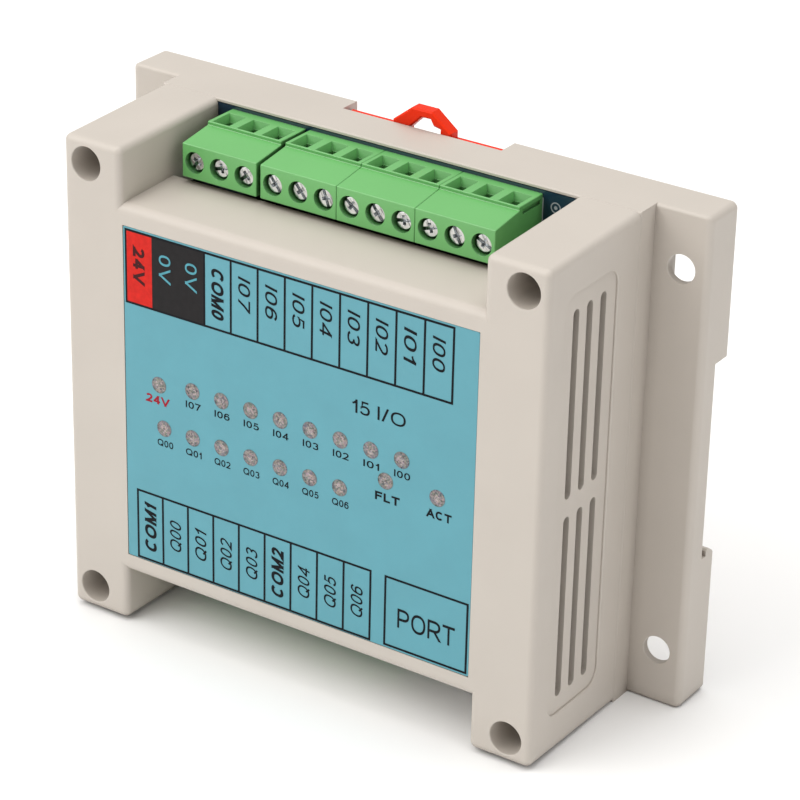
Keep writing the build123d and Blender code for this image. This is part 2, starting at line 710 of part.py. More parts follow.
with BuildPart() as data_socket:
    slab((PORT_X - PORT_HALF, PORT_X + PORT_HALF), (PORT_FRONT, PARTING), (PORT_LOW, PORT_HIGH))
    fillet(data_socket.edges().filter_by(Axis.Z), radius=0.4)
    # Mouth with two sloping corners and a tongue standing in it.
    with BuildSketch(Plane.XY.offset(PORT_LOW)):
        with BuildLine():
            Polyline(
                (PORT_X - 4.2, -1.8 + 1.6),
                (PORT_X - 2.6, -1.8),
                (PORT_X + 2.6, -1.8),
                (PORT_X + 4.2, -1.8 + 1.6),
                (PORT_X + 4.2, 5.9),
                (PORT_X - 4.2, 5.9),
                close=True,
            )
        make_face()
    extrude(amount=9, mode=Mode.SUBTRACT)
    slab((PORT_X - 2.8, PORT_X + 2.8), (0.6, 3.8), (PORT_LOW + 1.2, PORT_LOW + 9.5))
save(data_socket, "data_socket")

# ---------------------------------------------------------------- fasteners
COVER_HEAD_R = 2.6
COVER_HEAD_THICK = 1.8
COVER_SHANK_END = 14.0
BOARD_HEAD_R = 2.4
BOARD_HEAD_THICK = 1.5
BOARD_SHANK_END = 15.0


def cross_head_screws(places, head_rear, head_r, head_thick, shank_end):
    """Self-tapping screws with a cross recess, their heads towards the front."""
    with BuildPart() as screws:
        with BuildSketch(facing_front(head_rear)):
            with Locations(*places):
                Circle(head_r)
        extrude(amount=head_thick)
        fillet(screws.edges().group_by(Axis.Y)[0], radius=head_thick / 2)
        with BuildSketch(facing_front(shank_end)):
            with Locations(*places):
                Circle(COVER_SHANK_R)
        extrude(amount=shank_end - head_rear)
        with BuildSketch(facing_front(head_rear - head_thick / 3)):
            with Locations(*places):
                Rectangle(head_r * 1.1, 0.6)
                Rectangle(0.6, head_r * 1.1)
        extrude(amount=head_thick, mode=Mode.SUBTRACT)
    return screws


save(
    cross_head_screws(corner_wells(), WELL_FLOOR, COVER_HEAD_R, COVER_HEAD_THICK, COVER_SHANK_END),
    "cover_screws",
)
save(
    cross_head_screws(BOARD_SCREWS, PARTING, BOARD_HEAD_R, BOARD_HEAD_THICK, BOARD_SHANK_END),
    "board_screws",
)

# ---------------------------------------------------------------- lights
LED_BASE = LED_TIP + LED_BODY

with BuildPart() as indicator_leds:
    with BuildSketch(facing_front(LED_BASE)):
        with Locations(*LIGHTS):
            Circle(LED_R)
    extrude(amount=LED_BODY)
    fillet(indicator_leds.edges().group_by(Axis.Y)[0], radius=LED_R - 0.1)
    with BuildSketch(facing_front(LED_BASE)):
        with Locations(*LIGHTS):
            Circle(LED_R + 0.3)
    extrude(amount=1)
    with BuildSketch(facing_front(BOARD_BACK + 1.2)):
        with Locations(*[(x + leg, z) for x, z in LIGHTS for leg in (-LED_LEG_X, LED_LEG_X)]):
            Circle(0.25)
    extrude(amount=BOARD_BACK + 1.2 - LED_BASE)
save(indicator_leds, "indicator_leds")

with BuildPart() as led_spacers:
    with BuildSketch(facing_front(PARTING)):
        with Locations(*LIGHTS):
            Circle(SPACER_R)
        with Locations(*LIGHTS):
            Circle(SPACER_R - 0.5, mode=Mode.SUBTRACT)
    extrude(amount=PARTING - LED_BASE)
save(led_spacers, "led_spacers")

# ---------------------------------------------------------------- board parts
CHIP_Z = 61.0

with BuildPart() as microcontroller:
    with BuildSketch(facing_front(PARTING)):
        with Locations((-8, CHIP_Z)):
            with PolarLocations(5.4, 4):
                with GridLocations(0.4, 0.8, 1, 11):
                    Rectangle(1.2, 0.35)
    extrude(amount=0.25)
    slab((-13, -3), (PARTING - 1.5, PARTING), (CHIP_Z - 5, CHIP_Z + 5))
save(microcontroller, "microcontroller")

with BuildPart() as optocouplers:
    with BuildSketch(facing_front(PARTING - 0.2)):
        with Locations((0, 72)):
            with GridLocations(7.4, 0, 8, 1):
                Rectangle(4.6, 6.4)
    extrude(amount=3.4, taper=4)
    with BuildSketch(facing_front(PARTING)):
        with Locations((0, 72)):
            with GridLocations(7.4, 0, 8, 1):
                with GridLocations(2.54, 7.2, 2, 2):
                    Rectangle(0.6, 1.4)
    extrude(amount=1.6)
save(optocouplers, "optocouplers")

with BuildPart() as output_transistors:
    with BuildSketch(facing_front(PARTING)):
        with Locations((-8, 25)):
            with GridLocations(7.4, 0, 7, 1):
                Rectangle(6.2, 6.0)
    extrude(amount=2.3, taper=3)
    with BuildSketch(facing_front(PARTING)):
        with Locations((-8, 25 - 3.6)):
            with GridLocations(7.4, 0, 7, 1):
                with GridLocations(2.28, 0, 3, 1):
                    Rectangle(0.7, 2.2)
    extrude(amount=0.6)
save(output_transistors, "output_transistors")

with BuildPart() as supply_capacitors:
    with BuildSketch(facing_front(PARTING)):
        with Locations((-38.5, 52), (-38.5, 40)):
            Circle(4)
    extrude(amount=11)
    fillet(supply_capacitors.edges().group_by(Axis.Y)[0], radius=0.5)
save(supply_capacitors, "supply_capacitors")

with BuildPart() as power_inductor:
    with BuildSketch(facing_front(PARTING)):
        with Locations((38.5, 46)):
            RectangleRounded(11, 11, 1.5)
    extrude(amount=6)
    with BuildSketch(facing_front(PARTING - 6)):
        with Locations((38.5, 46)):
            Circle(3.6)
    extrude(amount=-1, mode=Mode.SUBTRACT)
save(power_inductor, "power_inductor")
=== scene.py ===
"""Looks of the PLC module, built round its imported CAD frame: metres, Z up, the front faces -Y."""

import math

import bmesh
import bpy
from mathutils import Matrix, Vector, geometry


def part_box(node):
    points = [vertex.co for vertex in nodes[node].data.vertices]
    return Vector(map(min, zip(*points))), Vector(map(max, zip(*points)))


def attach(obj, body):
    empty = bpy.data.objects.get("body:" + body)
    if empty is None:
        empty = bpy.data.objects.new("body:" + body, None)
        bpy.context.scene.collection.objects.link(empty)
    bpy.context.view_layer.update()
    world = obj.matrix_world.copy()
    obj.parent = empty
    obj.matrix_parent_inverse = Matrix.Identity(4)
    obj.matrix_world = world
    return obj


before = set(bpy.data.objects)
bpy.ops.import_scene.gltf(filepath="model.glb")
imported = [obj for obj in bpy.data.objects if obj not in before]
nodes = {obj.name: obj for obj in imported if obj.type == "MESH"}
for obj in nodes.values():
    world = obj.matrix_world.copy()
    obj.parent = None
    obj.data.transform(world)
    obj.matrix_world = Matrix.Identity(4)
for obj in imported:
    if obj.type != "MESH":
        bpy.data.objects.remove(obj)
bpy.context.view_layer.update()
scene = bpy.context.scene

MM = 0.001
LABEL_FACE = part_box("front_label")[0].y
PRINT_LIFT = 0.015 * MM
INK_THICK = 0.012 * MM
BOARD_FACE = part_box("main_board")[0].y


# ---------------------------------------------------------------- helpers for nodes and pieces
def srgb(red, green, blue):
    """A linear RGBA colour from 0-255 screen values."""

    def linear(value):
        value /= 255
        return value / 12.92 if value <= 0.04045 else ((value + 0.055) / 1.055) ** 2.4

    return (linear(red), linear(green), linear(blue), 1.0)


def shade(colour, factor):
    """The same colour, lighter or darker."""
    return tuple(min(1.0, c * factor) for c in colour[:3]) + (1.0,)


class Surface:
    """A material's node tree with short calls for what the finishes below are made of."""

    def __init__(self, name, roughness=0.5, metallic=0.0, ior=1.5):
        self.material = bpy.data.materials.new(name)
        self.material.use_nodes = True
        self.tree = self.material.node_tree
        self.shader = self.tree.nodes["Principled BSDF"]
        self.shader.inputs["Roughness"].default_value = roughness
        self.shader.inputs["Metallic"].default_value = metallic
        self.shader.inputs["IOR"].default_value = ior
        self.place = self.node("ShaderNodeTexCoord").outputs["Object"]

    def node(self, kind, inputs=None, **settings):
        made = self.tree.nodes.new(kind)
        for key, value in settings.items():
            setattr(made, key, value)
        for key, value in (inputs or {}).items():
            if isinstance(value, bpy.types.NodeSocket):
                self.tree.links.new(value, made.inputs[key])
            else:
                made.inputs[key].default_value = value
        return made

    def stretched(self, scale, place=None):
        """The object's own coordinates, or others, scaled along each axis."""
        return self.node(
            "ShaderNodeMapping", {"Vector": place or self.place, "Scale": scale}
        ).outputs["Vector"]

    def noise(self, scale, detail=3.0, roughness=0.55, place=None):
        return self.node(
            "ShaderNodeTexNoise",
            {
                "Vector": place or self.place,
                "Scale": scale,
                "Detail": detail,
                "Roughness": roughness,
            },
        ).outputs["Fac"]

    def ramp(self, factor, low, high, colours):
        """A two-colour ramp between two stops."""
        made = self.node("ShaderNodeValToRGB", {"Fac": factor})
        for element, stop, colour in zip(made.color_ramp.elements, (low, high), colours):
            element.position = stop
            element.color = colour
        return made.outputs["Color"]

    def spread(self, factor, low, high):
        """A value between 0 and 1 stretched to run from low to high."""
        return self.node(
            "ShaderNodeMapRange", {"Value": factor, "To Min": low, "To Max": high}
        ).outputs["Result"]

    def mix(self, factor, first, second, blend="MIX"):
        made = self.node("ShaderNodeMix", data_type="RGBA", blend_type=blend)
        for socket, value in ((0, factor), (6, first), (7, second)):
            if isinstance(value, bpy.types.NodeSocket):
                self.tree.links.new(value, made.inputs[socket])
            else:
                made.inputs[socket].default_value = value
        return made.outputs[2]

    def bump(self, height, depth, strength=1.0, normal=None):
        inputs = {"Height": height, "Distance": depth, "Strength": strength}
        if normal is not None:
            inputs["Normal"] = normal
        return self.node("ShaderNodeBump", inputs).outputs["Normal"]

    def hollows(self, reach, clear=0.6):
        """A factor that falls from 1 in the open to 0 deep in slots and holes, where shade is painted
        into colours. Places with at least the clear share of their surroundings open within reach stay
        at 1."""
        open_sky = self.node("ShaderNodeAmbientOcclusion", {"Distance": reach}, samples=4)
        return self.node(
            "ShaderNodeMapRange",
            {"Value": open_sky.outputs["AO"], "From Min": 0.0, "From Max": clear},
            interpolation_type="SMOOTHSTEP",
        ).outputs["Result"]

    def with_painted_shade(self, colour, factor, tint):
        """The colour with shade painted in: it turns to the tint where the factor is low."""
        return self.mix(factor, tint, colour)

    def soft_edges(self, radius):
        """Rounds the shading, and not the shape, of edges sharper than a moulded part has."""
        return self.node("ShaderNodeBevel", {"Radius": radius}, samples=4).outputs["Normal"]

    def wire(self, **sockets):
        """Links sockets to the shader's inputs, named with underscores for spaces."""
        for key, value in sockets.items():
            self.tree.links.new(value, self.shader.inputs[key.replace("_", " ")])
        return self.material


def moulded_plastic(
    name,
    colour,
    roughness,
    grain=0.35,
    depth=0.010,
    edge=0.0,
    vary=0.05,
    gloss=0.5,
    shadow=None,
    reach=5,
    clear=0.6,
):
    """Injection-moulded plastic: spark-eroded grain, faint flow shading, softened edges, and shade
    painted into its hollows where little light reaches."""
    s = Surface(name, ior=1.53)
    s.shader.inputs["Specular IOR Level"].default_value = gloss
    cloud = s.noise(55, 2.0)
    streak = s.noise(30, 3.0, place=s.stretched((1.0, 1.0, 4.0)))
    tone = s.ramp(cloud, 0.3, 0.7, (shade(colour, 1 - vary), shade(colour, 1 + vary * 0.6)))
    base = s.mix(s.spread(streak, 0.0, 0.35), tone, shade(colour, 1 - vary * 0.7))
    # Painted shade: the colour turns to the shadow tint in slots, holes and gaps where little light
    # reaches.
    base = s.with_painted_shade(base, s.hollows(reach * MM, clear), shadow or shade(colour, 0.3))
    fine = s.noise(1 / (grain * MM), 2.0, 0.6)
    rough = s.spread(s.noise(380, 4.0), roughness - 0.05, roughness + 0.07)
    normal = s.bump(fine, depth * MM, 0.8, s.soft_edges(edge * MM) if edge else None)
    return s.wire(Base_Color=base, Roughness=rough, Normal=normal)


def plated_metal(name, colour, roughness, along=0.0, streaks=0.35, edge=0.08, reach=3):
    """Plated or brushed metal: fine streaks, partly brushing marks and partly painted streak
    reflections, that run at an angle in degrees from upright, seen from the front, cloudy dull
    patches, and painted shade that darkens its slots and corners."""
    s = Surface(name, metallic=1.0)
    turned = s.node(
        "ShaderNodeVectorRotate",
        {"Vector": s.place, "Angle": math.radians(along)},
        rotation_type="Y_AXIS",
    ).outputs["Vector"]
    scratches_and_reflections = s.noise(400, 3.0, 0.6, place=s.stretched((7.0, 7.0, 1.0), turned))
    patches = s.noise(420, 3.0)
    base = s.ramp(patches, 0.25, 0.75, (shade(colour, 0.8), colour))
    # Dark streaks painted into the colour: partly brushing marks, partly painted streak reflections.
    lines = s.ramp(scratches_and_reflections, 0.52, 0.62, ((0, 0, 0, 1), (1, 1, 1, 1)))
    base = s.mix(s.spread(lines, 0.0, streaks), base, shade(colour, 0.25))
    # Painted shade: the metal's colour darkens deep in its slots and corners.
    base = s.with_painted_shade(base, s.hollows(reach * MM), shade(colour, 0.1))
    rough = s.spread(s.noise(650, 4.0), roughness * 0.6, roughness * 1.6)
    normal = s.bump(scratches_and_reflections, 0.02 * MM, 0.9, s.soft_edges(edge * MM))
    return s.wire(Base_Color=base, Roughness=rough, Normal=normal)


def printed_ink(name, colour, roughness=0.42):
    """Screen-printed ink: a little uneven in tone and gloss."""
    s = Surface(name, ior=1.5)
    s.shader.inputs["Specular IOR Level"].default_value = 0.12
    base = s.ramp(s.noise(900, 3.0), 0.3, 0.7, (shade(colour, 0.85), shade(colour, 1.1)))
    rough = s.spread(s.noise(500, 3.0), roughness - 0.06, roughness + 0.08)
    return s.wire(Base_Color=base, Roughness=rough, Normal=s.bump(s.noise(2500, 2.0), 0.004 * MM, 0.5))


# ---------------------------------------------------------------- finishes
CREAM = srgb(191, 183, 174)
LABEL_BLUE = srgb(84, 152, 166)
GREEN = srgb(97, 171, 93)
CLIP_RED = srgb(226, 46, 10)
MASK_BLUE = srgb(10, 36, 56)
NICKEL = srgb(238, 242, 245)
INK = srgb(10, 13, 19)
TRACK_BLUE = srgb(22, 58, 80)
LENS_PINK = srgb(226, 170, 165)
# Painted shade: the tints the plastics turn to deep in their slots, holes and gaps.
CREAM_PAINTED_SHADE = srgb(76, 56, 34)
RED_PAINTED_SHADE = srgb(120, 14, 4)
GREEN_PAINTED_SHADE = srgb(8, 30, 12)


def label_film():
    """Satin polycarbonate film with a fine grain and a barely mottled flat colour."""
    s = Surface("label_film", ior=1.55)
    mottle = s.noise(140, 3.0)
    base = s.ramp(mottle, 0.3, 0.7, (shade(LABEL_BLUE, 0.965), shade(LABEL_BLUE, 1.03)))
    dots = s.noise(4200, 1.0)
    base = s.mix(s.spread(dots, 0.0, 0.14), base, shade(LABEL_BLUE, 0.8))
    rough = s.spread(s.noise(700, 2.0), 0.40, 0.50)
    peel = s.bump(s.noise(160, 1.0), 0.010 * MM, 0.5)
    return s.wire(Base_Color=base, Roughness=rough, Normal=s.bump(dots, 0.004 * MM, 0.6, peel))


def frosted_window(name, light, dark):
    """Clear film printed with a fine speckle of greys, pinks and greens over the lamp behind it."""
    s = Surface(name, ior=1.5)
    s.shader.inputs["Specular IOR Level"].default_value = 0.3
    cells = s.node("ShaderNodeTexVoronoi", {"Vector": s.place, "Scale": 3600.0, "Randomness": 1.0})
    colours = s.node(
        "ShaderNodeHueSaturation", {"Saturation": 0.35, "Color": cells.outputs["Color"]}
    ).outputs["Color"]
    speck = s.node("ShaderNodeSeparateColor", {"Color": cells.outputs["Color"]}).outputs["Red"]
    grey = s.ramp(speck, 0.2, 0.8, (dark, light))
    tinted = s.mix(0.22, grey, colours)
    blotch = s.ramp(s.noise(1500, 3.0, 0.6), 0.42, 0.62, (dark, light))
    base = s.mix(0.35, tinted, blotch)
    rough = s.spread(s.noise(2200, 2.0), 0.3, 0.55)
    return s.wire(Base_Color=base, Roughness=rough, Normal=s.bump(speck, 0.02 * MM, 0.5))


def solder_mask():
    """Deep blue gloss mask over faint copper tracks that run up the board, with shade painted in where
    little light reaches.
    """
    s = Surface("solder_mask", ior=1.5)
    tracks = s.node(
        "ShaderNodeTexBrick",
        {
            "Vector": s.place,
            "Scale": 260.0,
            "Mortar Size": 0.12,
            "Mortar Smooth": 0.4,
            "Color1": (0, 0, 0, 1),
            "Color2": (0, 0, 0, 1),
            "Mortar": (1, 1, 1, 1),
        },
    ).outputs["Fac"]
    body = s.ramp(s.noise(300, 3.0), 0.3, 0.7, (shade(MASK_BLUE, 0.8), shade(MASK_BLUE, 1.15)))
    base = s.mix(s.spread(tracks, 0.0, 0.35), body, TRACK_BLUE)
    # Painted shade: the mask darkens under the terminals and in gaps where little light reaches.
    base = s.with_painted_shade(base, s.hollows(9 * MM), shade(MASK_BLUE, 0.25))
    s.shader.inputs["Coat Weight"].default_value = 0.5
    s.shader.inputs["Coat Roughness"].default_value = 0.12
    rough = s.spread(s.noise(800, 2.0), 0.25, 0.4)
    return s.wire(Base_Color=base, Roughness=rough, Normal=s.bump(tracks, 0.03 * MM, 0.6))


def lamp_lens():
    """Diffused pale pink resin of the indicator lamps."""
    s = Surface("lamp_lens", ior=1.55)
    base = s.ramp(s.noise(500, 3.0), 0.3, 0.7, (shade(LENS_PINK, 0.88), shade(LENS_PINK, 1.05)))
    s.shader.inputs["Subsurface Weight"].default_value = 0.3
    s.shader.inputs["Subsurface Scale"].default_value = 1.0 * MM
    rough = s.spread(s.noise(900, 2.0), 0.15, 0.3)
    return s.wire(Base_Color=base, Roughness=rough, Normal=s.bump(s.noise(1500), 0.006 * MM, 0.5))


def finish_cad_nodes():
    """Gives every carried-over CAD node its finish."""
    enclosure = moulded_plastic(
        "enclosure_plastic",
        CREAM,
        0.46,
        grain=0.32,
        depth=0.012,
        vary=0.03,
        shadow=CREAM_PAINTED_SHADE,
        clear=0.55,
    )
    clip = moulded_plastic(
        "clip_plastic", CLIP_RED, 0.36, grain=0.3, depth=0.008, gloss=0.12, shadow=RED_PAINTED_SHADE
    )
    green = moulded_plastic(
        "terminal_plastic",
        GREEN,
        0.36,
        grain=0.22,
        depth=0.008,
        edge=0.10,
        gloss=0.75,
        shadow=GREEN_PAINTED_SHADE,
        reach=4,
        clear=0.65,
    )
    # The nickel's strong streaks are partly painted reflection, and its reach sets the painted shade
    # in the screw slots.
    nickel = plated_metal("nickel_plate", NICKEL, 0.14, along=30, streaks=0.75, reach=0.8)
    tin = plated_metal("tin_plate", srgb(205, 203, 198), 0.32)
    steel = plated_metal("socket_steel", srgb(208, 209, 211), 0.26, along=90, edge=0.12)
    black_zinc = plated_metal("black_zinc", srgb(52, 52, 56), 0.38)
    can = plated_metal("capacitor_can", srgb(202, 204, 207), 0.30)
    nylon = moulded_plastic("spacer_nylon", srgb(232, 232, 226), 0.5, grain=0.25, vary=0.04)
    chip = moulded_plastic("chip_resin", srgb(34, 35, 38), 0.55, grain=0.12, depth=0.010, vary=0.2)
    ferrite = moulded_plastic("ferrite", srgb(58, 58, 61), 0.6, grain=0.2, depth=0.03, vary=0.25)
    finishes = {
        "front_cover": enclosure,
        "rear_base": enclosure,
        "rail_clip": clip,
        "front_label": label_film(),
        "main_board": solder_mask(),
        "input_terminal_housings": green,
        "output_terminal_housings": green,
        "terminal_contact_pins": tin,
        "data_socket": steel,
        "cover_screws": black_zinc,
        "board_screws": nickel,
        "indicator_leds": lamp_lens(),
        "led_spacers": nylon,
        "microcontroller": chip,
        "optocouplers": chip,
        "output_transistors": chip,
        "supply_capacitors": can,
        "power_inductor": ferrite,
    }
    for name, node in nodes.items():
        if "_screw_" in name:
            finish = nickel
        elif "_clamp_" in name:
            finish = tin
        else:
            finish = finishes[name]
        node.data.materials.clear()
        node.data.materials.append(finish)


# ---------------------------------------------------------------- lettering
# Stroke widths, gaps and cuts of the letters, in units of the capitals' height.
REGULAR = 0.135
BOLD = 0.23
LETTER_GAP = 0.15
WORD_GAP = 0.35
PLAIN_STROKE = 0.13
SQUARENESS = 0.88
SHARPEST_MITRE = 0.55
TINY = 1e-6


def arc(x, y, wide, tall, first, last, steps=14):
    """Points along a squarish ellipse with the given half sizes, between two angles in degrees."""
    points = []
    for k in range(steps + 1):
        turn = math.radians(first + (last - first) * k / steps)
        cos, sin = math.cos(turn), math.sin(turn)
        points.append(
            (
                x + wide * math.copysign(abs(cos) ** SQUARENESS, cos),
                y + tall * math.copysign(abs(sin) ** SQUARENESS, sin),
            )
        )
    return points


def upright(x):
    """An upright stroke from the baseline to the top of the capitals."""
    return [(x, 0), (x, 1)]


BOWL = [(0, 1), (0.5, 1)] + arc(0.5, 0.72, 0.5, 0.28, 80, -80) + [(0.5, 0.44), (0, 0.44)]
# Each character's width, and its strokes as centre lines across a box of that width, both in units
# of the capitals' height. Upright and slanted strokes that end at 0 or 1 are cut level.
GLYPHS = {
    "0": (0.66, [arc(0.5, 0.5, 0.5, 0.5, 0, 360, 32)]),
    "1": (0.36, [upright(1), [(0.9, 0.95), (0.45, 0.78), (-0.15, 0.70)]]),
    "2": (0.66, [arc(0.5, 0.72, 0.5, 0.28, 165, -30) + [(0.6, 0.32), (0.04, 0)], [(0, 0), (1, 0)]]),
    "3": (0.66, [arc(0.47, 0.76, 0.47, 0.24, 160, -85), arc(0.48, 0.27, 0.52, 0.27, 85, -160)]),
    "4": (0.70, [upright(0.78), [(0.78, 1), (0, 0.27)], [(0, 0.25), (1, 0.25)]]),
    "5": (0.66, [[(0.92, 1), (0.2, 1), (0.06, 0.49)] + arc(0.48, 0.32, 0.52, 0.32, 140, -155)]),
    "6": (0.66, [arc(0.5, 0.31, 0.5, 0.31, 0, 360, 28), arc(0.54, 0.45, 0.54, 0.55, 190, 42)]),
    "7": (0.66, [[(0, 1), (1, 1)], [(1, 0.97), (0.6, 0.5), (0.33, 0)]]),
    "/": (0.42, [[(0, 0), (1, 1)]]),
    "A": (0.92, [[(0.5, 1), (0, 0)], [(0.5, 1), (1, 0)], [(0.18, 0.31), (0.82, 0.31)]]),
    "C": (0.86, [arc(0.5, 0.5, 0.5, 0.5, 42, 318, 26)]),
    "F": (0.72, [upright(0), [(0, 1), (1, 1)], [(0, 0.52), (0.88, 0.52)]]),
    "I": (0.0, [upright(0)]),
    "L": (0.64, [upright(0), [(0, 0), (1, 0)]]),
    "M": (0.94, [upright(0), upright(1), [(0.02, 1), (0.5, 0)], [(0.98, 1), (0.5, 0)]]),
    "O": (0.96, [arc(0.5, 0.5, 0.5, 0.5, 0, 360, 36)]),
    "P": (0.80, [upright(0), BOWL]),
    "Q": (0.96, [arc(0.5, 0.5, 0.5, 0.5, 0, 360, 36), [(0.6, 0.24), (1.04, -0.06)]]),
    "R": (0.86, [upright(0), BOWL, [(0.5, 0.46), (1, 0)]]),
    "T": (0.82, [upright(0.5), [(0, 1), (1, 1)]]),
    "V": (0.92, [[(0, 1), (0.5, 0)], [(1, 1), (0.5, 0)]]),
}


def ribbon(points, half):
    """The outline of a stroke of the given half width along a centre line, as quads. Its ends are
    cut level at the baseline or the top where it meets them at a slope."""
    closed = math.dist(points[0], points[-1]) < TINY
    line = [Vector(p) for p in points]
    steps = [(b - a).normalized() for a, b in zip(line, line[1:])]
    sides = []
    for k, point in enumerate(line):
        before = steps[k - 1] if k > 0 or closed else steps[0]
        after = steps[k] if k < len(steps) else (steps[0] if closed else steps[-1])
        across = (before + after).normalized().orthogonal()
        reach = half / max(SHARPEST_MITRE, across.dot(after.orthogonal()))
        sides.append([point + across * reach, point - across * reach])
    if not closed:
        for k, step in ((0, steps[0]), (-1, steps[-1])):
            for cut, inset in ((0.0, half), (1.0, 1 - half)):
                if abs(line[k].y - inset) < TINY and abs(step.y) > 0.4:
                    sides[k] = [p + step * ((cut - p.y) / step.y) for p in sides[k]]
    return [[a[0], a[1], b[1], b[0]] for a, b in zip(sides, sides[1:])]


def lettered(words, weight):
    """Quads of a line of lettering whose capitals are 1 high, and its length."""
    half = weight / 2
    quads = []
    pen = 0.0
    for letter in words:
        if letter == " ":
            pen += WORD_GAP
            continue
        width, strokes = GLYPHS[letter]
        width = max(width, weight) + (weight - PLAIN_STROKE) / 2
        run = width - weight
        for stroke in strokes:
            placed = [(pen + half + x * run, half + y * (1 - weight)) for x, y in stroke]
            if len(placed) == 2 and abs(placed[0][1] - placed[1][1]) < TINY:
                placed = [(placed[0][0] - half, placed[0][1]), (placed[1][0] + half, placed[1][1])]
            quads += ribbon(placed, half)
        pen += width + LETTER_GAP
    return quads, pen - LETTER_GAP


# ---------------------------------------------------------------- printing
class Print:
    """Flat ink shapes gathered in one mesh on a plane that faces the front."""

    def __init__(self, name, ink, face, body="root", slot="label"):
        self.name, self.ink, self.face, self.body, self.slot = name, ink, face, body, slot
        self.points = []
        self.faces = []

    def polygon(self, corners):
        """A filled polygon from (x, z) corners in millimetres, anticlockwise from the front."""
        start = len(self.points)
        self.points += corners
        self.faces.append(range(start, start + len(corners)))

    def box(self, left, right, low, high):
        self.polygon([(left, low), (right, low), (right, high), (left, high)])

    def outline(self, left, right, low, high, line):
        """The outline of a rectangle, its lines centred on the given edges."""
        half = line / 2
        self.box(left - half, right + half, high - half, high + half)
        self.box(left - half, right + half, low - half, low + half)
        self.box(left - half, left + half, low + half, high - half)
        self.box(right - half, right + half, low + half, high - half)

    def disc(self, x, z, radius, sides=40):
        turns = [2 * math.pi * k / sides for k in range(sides)]
        self.polygon([(x + radius * math.cos(t), z + radius * math.sin(t)) for t in turns])

    def ring(self, x, z, radius, line, sides=40):
        """A circle drawn as one band of quads."""
        inner, outer = radius - line / 2, radius + line / 2
        for k in range(sides):
            a, b = 2 * math.pi * k / sides, 2 * math.pi * (k + 1) / sides
            corners = ((inner, a), (outer, a), (outer, b), (inner, b))
            self.polygon([(x + r * math.cos(t), z + r * math.sin(t)) for r, t in corners])

    def text(self, words, x, z, height, length, turn=0, weight=REGULAR, slant=0.0):
        """Lettering centred on (x, z): its capitals' height and whole length in millimetres, turned
        anticlockwise by so many degrees, with strokes of the given share of the height."""
        quads, natural = lettered(words, weight)
        wide = (length - slant * height) / natural
        cos, sin = math.cos(math.radians(turn)), math.sin(math.radians(turn))
        flat = [corner for quad in quads for corner in quad]
        shapes = [range(4 * k, 4 * k + 4) for k in range(len(quads))]
        flat, _, shapes, _, _, sources = geometry.delaunay_2d_cdt(flat, [], shapes, 1, 1e-5)
        start = len(self.points)
        for corner in flat:
            rise = (corner.y - 0.5) * height
            along = (corner.x - natural / 2) * wide + slant * rise
            self.points.append((x + along * cos - rise * sin, z + along * sin + rise * cos))
        for shape, covered_by in zip(shapes, sources):
            if covered_by:
                self.faces.append([start + i for i in shape])

    def make(self):
        """Builds the piece: every shape as a thin raised layer of ink."""
        mesh = bmesh.new()
        verts = [mesh.verts.new((x * MM, self.face, z * MM)) for x, z in self.points]
        made = [mesh.faces.new([verts[i] for i in face]) for face in self.faces]
        bmesh.ops.recalc_face_normals(mesh, faces=made)
        for face in made:
            if face.normal.y > 0:
                face.normal_flip()
        grown = bmesh.ops.extrude_face_region(mesh, geom=made)
        raised = [g for g in grown["geom"] if isinstance(g, bmesh.types.BMVert)]
        bmesh.ops.translate(mesh, vec=(0, -INK_THICK, 0), verts=raised)
        data = bpy.data.meshes.new(self.name)
        mesh.to_mesh(data)
        mesh.free()
        data.materials.append(self.ink)
        piece = bpy.data.objects.new(self.name, data)
        scene.collection.objects.link(piece)
        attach(piece, self.body)


# The label's layout in millimetres: x from the middle, z from the bottom edge of the box.
LINE = 0.4
CAPS = 2.4
COMMON_CAPS = 2.5
SMALL_CAPS = 1.25
STATE_CAPS = 1.55
SLANT = 0.2
SMALL_WEIGHT = 0.16
POWER_WEIGHT = 0.21
STATE_WEIGHT = 0.22

TABLE_TOP = (62.3, 75.4)
TABLE_TOP_LEFT = -34.5
TABLE_TOP_CELL = 5.4
TABLE_TOP_WORDS = ("24V", "0V", "0V", "COM0") + tuple(f"I0{7 - k}" for k in range(8))
TABLE_LOW = (14.3, 27.3)
TABLE_LOW_LEFT = -32.8
TABLE_LOW_CELL = 5.37
TABLE_LOW_WORDS = ("COM1", "Q00", "Q01", "Q02", "Q03", "COM2", "Q04", "Q05", "Q06")
TABLE_LOW_MIDDLE = 20.7
CHANNEL_LONG = 6.2
PORT_BOX = (18.5, 34.5, 14.5, 27.3)

WINDOW_R = 1.5
CENTRE_R = 0.8
RIM_R = 1.42
RIM_LINE = 0.16
LAMP_PITCH = 6.0
INPUT_LAMPS = (-20.9, 49.45)
OUTPUT_LAMPS = (-26.9, 40.7)
POWER_LAMP = (-27.9, 48.6)
STATE_LAMPS = (("FLT", 18.07), ("ACT", 28.07))
STATE_LAMP_Z = 44.73


